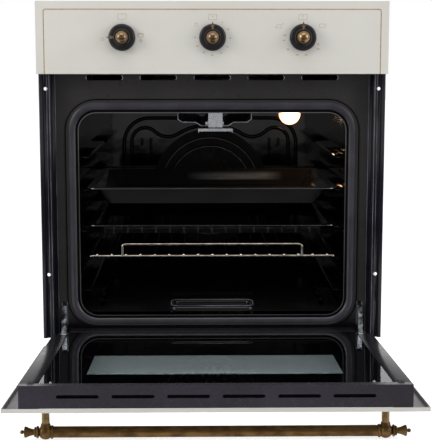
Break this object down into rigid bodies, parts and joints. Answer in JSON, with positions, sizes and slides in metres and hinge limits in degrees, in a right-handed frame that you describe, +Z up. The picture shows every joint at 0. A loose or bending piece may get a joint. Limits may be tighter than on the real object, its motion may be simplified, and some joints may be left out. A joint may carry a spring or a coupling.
{
  "type": "gas oven",
  "caption": "Built-in gas oven with a drop-down door held open, a bar handle, rotary knobs, enamelled cavity, trays, wire rack, burners and fans.",
  "frame": {"origin": "centre of the carcass base, on the niche shelf", "axes": "+Z up, +X to the right seen from the front, -Y out of the door's opening"},
  "size_m": [0.595, 1.008, 0.6289],
  "materials": {
    "ivory_enamel": "satin ivory enamel",
    "black_enamel": "gloss black enamel",
    "brown_enamel": "gloss brown-black enamel",
    "column_enamel": "gloss blue-black enamel",
    "galvanised": "galvanised sheet",
    "grey_lacquer": "satin grey lacquer",
    "bright_steel": "bright zinc-plated steel",
    "chrome_wire": "chromed wire",
    "brass": "aged brass",
    "copper_pipe": "copper tube",
    "knob_plastic": "charcoal phenolic",
    "switch_plastic": "pale moulded plastic",
    "dark_plastic": "dark moulded plastic",
    "rubber": "black rubber",
    "seal_silicone": "grey silicone",
    "glass_wool": "glass wool",
    "window_glass": "clear tempered glass",
    "black_glass": "tempered glass with a dark border",
    "lamp_glass": "pressed lamp glass",
    "ceramic": "glazed ceramic",
    "motor_paint": "dark grey paint"
  },
  "bodies": {
    "oven": {"carcass_shell": "galvanised", "base_pan": "galvanised", "rear_cover": "galvanised", "front_frame": "brown_enamel", "side_columns": "column_enamel", "cavity_liner": "black_enamel", "runner_ledges": "black_enamel", "insulation": "glass_wool", "door_seal": "seal_silicone", "floor_plate": "black_enamel", "floor_burner": "bright_steel", "grill_reflector": "black_enamel", "grill_burner": "bright_steel", "grill_bracket": "bright_steel", "lamp_holder": "ceramic", "lamp_bulb": "lamp_glass", "lamp_glass": "lamp_glass", "fan_cover": "black_enamel", "fan_pot": "galvanised", "fan_motor": "motor_paint", "air_duct": "galvanised", "blower_housing": "galvanised", "blower_motor": "motor_paint", "control_panel": "ivory_enamel", "control_chassis": "galvanised", "selector_switch": "switch_plastic", "timer_body": "switch_plastic", "thermostat_tap": "brass", "thermostat_bulb": "copper_pipe", "gas_inlet": "brass", "gas_pipes": "copper_pipe", "burner_probes": "ceramic", "terminal_block": "dark_plastic", "cable_gland": "dark_plastic", "hinge_claws": "bright_steel", "hinge_receivers": "galvanised"},
    "door": {"door_skin": "ivory_enamel", "door_channels": "grey_lacquer", "door_top_bar": "grey_lacquer", "door_bottom_channel": "grey_lacquer", "window_glass": "window_glass", "inner_glass": "black_glass", "door_buffers": "rubber", "hinge_forks": "bright_steel", "hinge_pins": "bright_steel", "handle_posts": "brass", "handle_bar": "brass", "handle_ends": "brass"},
    "selector_knob": {"selector_skirt": "knob_plastic", "selector_cap": "brass"},
    "timer_knob": {"timer_skirt": "knob_plastic", "timer_cap": "brass"},
    "thermostat_plug": {"tap_plug": "brass"},
    "thermostat_knob": {"thermostat_skirt": "knob_plastic", "thermostat_cap": "brass"},
    "deep_tray": {"deep_tray": "black_enamel"},
    "shallow_tray": {"shallow_tray": "black_enamel"},
    "wire_rack": {"wire_rack": "chrome_wire"},
    "convection_fan": {"convection_fan": "galvanised"},
    "cooling_wheel": {"blower_wheel": "galvanised"}
  },
  "joints": [
    {"name": "door_hinge", "type": "hinge", "parent": "oven", "child": "door", "pos_m": [0, -0.2776, 0.0148], "axis": [1, 0, 0], "range_deg": [-86.8, 0]},
    {"name": "selector_turn", "type": "hinge", "parent": "oven", "child": "selector_knob", "pos_m": [-0.152, -0.302, 0.5345], "axis": [0, 1, 0], "range_deg": [0, 180]},
    {"name": "timer_turn", "type": "hinge", "parent": "oven", "child": "timer_knob", "pos_m": [0, -0.302, 0.5345], "axis": [0, 1, 0], "range_deg": [0, 330]},
    {"name": "thermostat_turn", "type": "hinge", "parent": "oven", "child": "thermostat_plug", "pos_m": [0.152, -0.302, 0.5345], "axis": [0, 1, 0], "range_deg": [-270, 45]},
    {"name": "thermostat_push", "type": "slide", "parent": "thermostat_plug", "child": "thermostat_knob", "axis": [0, 1, 0], "range_m": [0, 0.003], "stiffness_N_per_m": 800},
    {"name": "deep_tray_slide", "type": "slide", "parent": "oven", "child": "deep_tray", "axis": [0, -1, 0], "range_m": [0, 0.26]},
    {"name": "shallow_tray_slide", "type": "slide", "parent": "oven", "child": "shallow_tray", "axis": [0, -1, 0], "range_m": [0, 0.26]},
    {"name": "wire_rack_slide", "type": "slide", "parent": "oven", "child": "wire_rack", "axis": [0, -1, 0], "range_m": [0, 0.26]},
    {"name": "convection_fan_spin", "type": "hinge", "parent": "oven", "child": "convection_fan", "pos_m": [0, 0.138, 0.235], "axis": [0, 1, 0], "continuous": true},
    {"name": "cooling_wheel_spin", "type": "hinge", "parent": "oven", "child": "cooling_wheel", "pos_m": [0, -0.01, 0.4748], "axis": [1, 0, 0], "continuous": true}
  ]
}
